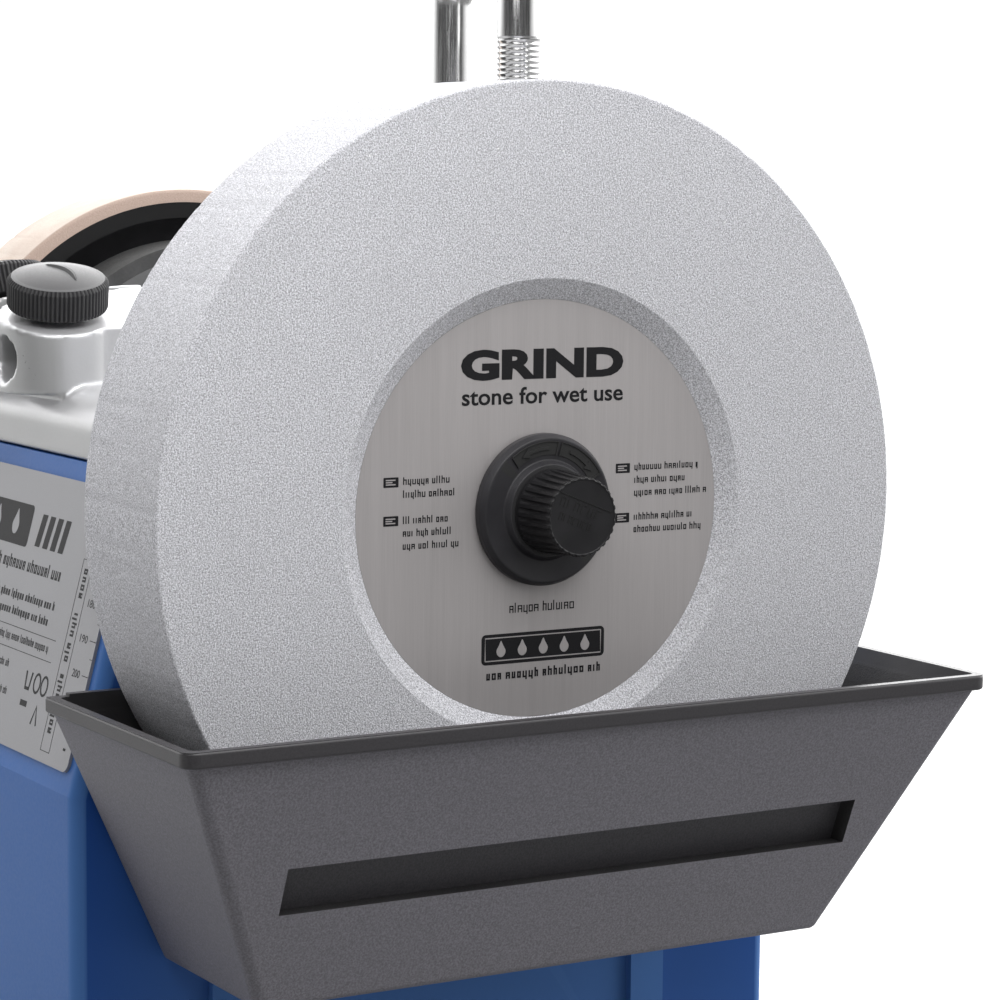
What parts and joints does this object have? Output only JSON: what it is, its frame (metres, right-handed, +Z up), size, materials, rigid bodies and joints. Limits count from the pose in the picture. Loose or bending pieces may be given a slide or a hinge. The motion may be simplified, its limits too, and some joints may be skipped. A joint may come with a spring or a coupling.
{
  "type": "wet grinding sharpener",
  "caption": "Water-cooled bench sharpener: large grindstone in a water trough, leather honing wheel, tool support bar and slanted housing.",
  "frame": {"origin": "on the surface the feet stand on, under the middle of the machine's outer box; the shaft is 180 mm above it", "axes": "+X along the shaft towards the grindstone, -Y towards the label side of the housing, +Z up"},
  "size_m": [0.27, 0.215, 0.325],
  "materials": {
    "grindstone": "fine vitrified abrasive, light grey with dark and bright grains",
    "label_disc": null,
    "label_plate": null,
    "black_plastic": "fine moulded texture",
    "grey_plastic": "moulded",
    "white_plastic": "moulded",
    "bush_plastic": "bearing plastic",
    "blue_plastic": "satin blue moulded housing",
    "trough_plastic": "dark grey with a fine sparkle texture",
    "zinc": "die-cast zinc, satin",
    "zinc_sheet": "zinc-plated sheet",
    "steel": "ground steel",
    "bright_steel": "ground stainless rod",
    "screw_steel": "plated screw",
    "leather": "natural tan leather",
    "rubber": "moulded rubber",
    "laminations": "stacked electrical steel sheets",
    "copper_wire": "varnished copper windings",
    "magnet": "ferrite"
  },
  "bodies": {
    "machine": {"cast_top": "zinc", "housing": "blue_plastic", "base_plate": "zinc_sheet", "rubber_feet": "rubber", "foot_screws": "screw_steel", "top_screws": "screw_steel", "label_plate": "label_plate", "trough_magnet": "magnet", "shaft_bush_left": "bush_plastic", "shaft_bush_right": "bush_plastic", "motor_pivot_bracket": "zinc_sheet", "motor_pivot_pin": "steel", "spring_guide": "black_plastic", "motor_spring": "steel", "capacitor": "grey_plastic", "capacitor_clip": "zinc_sheet", "terminal_block": "white_plastic", "switch_frame": "black_plastic", "cable_gland": "black_plastic"},
    "spindle": {"main_shaft": "steel", "grindstone": "grindstone", "label_disc": "label_disc", "stone_lock_flange": "black_plastic", "stone_inner_flange": "steel", "drive_wheel_hub": "grey_plastic", "drive_wheel_tread": "rubber", "honing_wheel_body": "black_plastic", "honing_leather": "leather"},
    "stone_lock": {"stone_lock_knob": "black_plastic"},
    "honing_hand_nut": {"honing_nut": "black_plastic"},
    "front_clamp_near": {"front_lock_knob_near": "black_plastic", "front_lock_screw_near": "screw_steel"},
    "front_clamp_far": {"front_lock_knob_far": "black_plastic", "front_lock_screw_far": "screw_steel"},
    "rear_clamp_near": {"rear_lock_knob_near": "black_plastic", "rear_lock_screw_near": "screw_steel"},
    "rear_clamp_far": {"rear_lock_knob_far": "black_plastic", "rear_lock_screw_far": "screw_steel"},
    "support": {"support_bar": "bright_steel"},
    "micro_nut": {"micro_adjust_nut": "zinc"},
    "rocker": {"power_rocker": "black_plastic"},
    "trough": {"water_trough": "trough_plastic", "trough_steel_patch": "zinc_sheet"},
    "motor_unit": {"motor_stator": "laminations", "motor_windings": "copper_wire", "motor_end_bell_drive": "zinc", "motor_end_bell_fan": "zinc", "motor_bearings": "steel", "motor_swing_arm": "zinc_sheet", "motor_tie_bolts": "screw_steel"},
    "rotor": {"motor_shaft": "steel", "rotor_core": "laminations", "cooling_fan": "grey_plastic"}
  },
  "joints": [
    {"name": "spindle_spin", "type": "hinge", "parent": "machine", "child": "spindle", "pos_m": [0, 0, 0.18], "axis": [1, 0, 0], "continuous": true},
    {"name": "stone_lock_turn", "type": "hinge", "parent": "spindle", "child": "stone_lock", "pos_m": [0.11, 0, 0.18], "axis": [1, 0, 0], "range_deg": [0, 120]},
    {"name": "honing_nut_turn", "type": "hinge", "parent": "spindle", "child": "honing_hand_nut", "pos_m": [-0.13, 0, 0.18], "axis": [-1, 0, 0], "range_deg": [0, 360]},
    {"name": "front_knob_turn_near", "type": "hinge", "parent": "machine", "child": "front_clamp_near", "pos_m": [-0.016, -0.0737, 0.2215], "axis": [0.2746, -0.0872, 0.9576], "range_deg": [0, 360]},
    {"name": "rear_knob_turn_near", "type": "hinge", "parent": "machine", "child": "rear_clamp_near", "pos_m": [-0.016, 0.08, 0.213], "axis": [0, 1, 0], "range_deg": [0, 360]},
    {"name": "front_knob_turn_far", "type": "hinge", "parent": "machine", "child": "front_clamp_far", "pos_m": [-0.053, -0.0737, 0.2215], "axis": [-0.2746, -0.0872, 0.9576], "range_deg": [0, 360]},
    {"name": "rear_knob_turn_far", "type": "hinge", "parent": "machine", "child": "rear_clamp_far", "pos_m": [-0.053, 0.08, 0.213], "axis": [0, 1, 0], "range_deg": [0, 360]},
    {"name": "support_height", "type": "slide", "parent": "machine", "child": "support", "axis": [0, 0, 1], "range_m": [0, 0.028]},
    {"name": "micro_adjust_turn", "type": "hinge", "parent": "support", "child": "micro_nut", "pos_m": [-0.016, 0.062, 0.234], "axis": [0, 0, 1], "range_deg": [-360, 360]},
    {"name": "power_switch", "type": "hinge", "parent": "machine", "child": "rocker", "pos_m": [-0.034, 0.0967, 0.084], "axis": [1, 0, 0], "range_deg": [-16, 0]},
    {"name": "trough_lower", "type": "slide", "parent": "machine", "child": "trough", "axis": [0, 0, -1], "range_m": [0, 0.06]},
    {"name": "motor_swing", "type": "hinge", "parent": "machine", "child": "motor_unit", "pos_m": [-0.017, -0.04, 0.098], "axis": [1, 0, 0], "range_deg": [-3, 0], "stiffness_Nm_per_rad": 12, "springref_deg": 20.05},
    {"name": "rotor_spin", "type": "hinge", "parent": "motor_unit", "child": "rotor", "pos_m": [0, 0.03, 0.12426], "axis": [1, 0, 0], "continuous": true}
  ],
  "couplings": [
    {"joint": "rotor_spin", "follows": "spindle_spin", "ratio": -11.6}
  ]
}
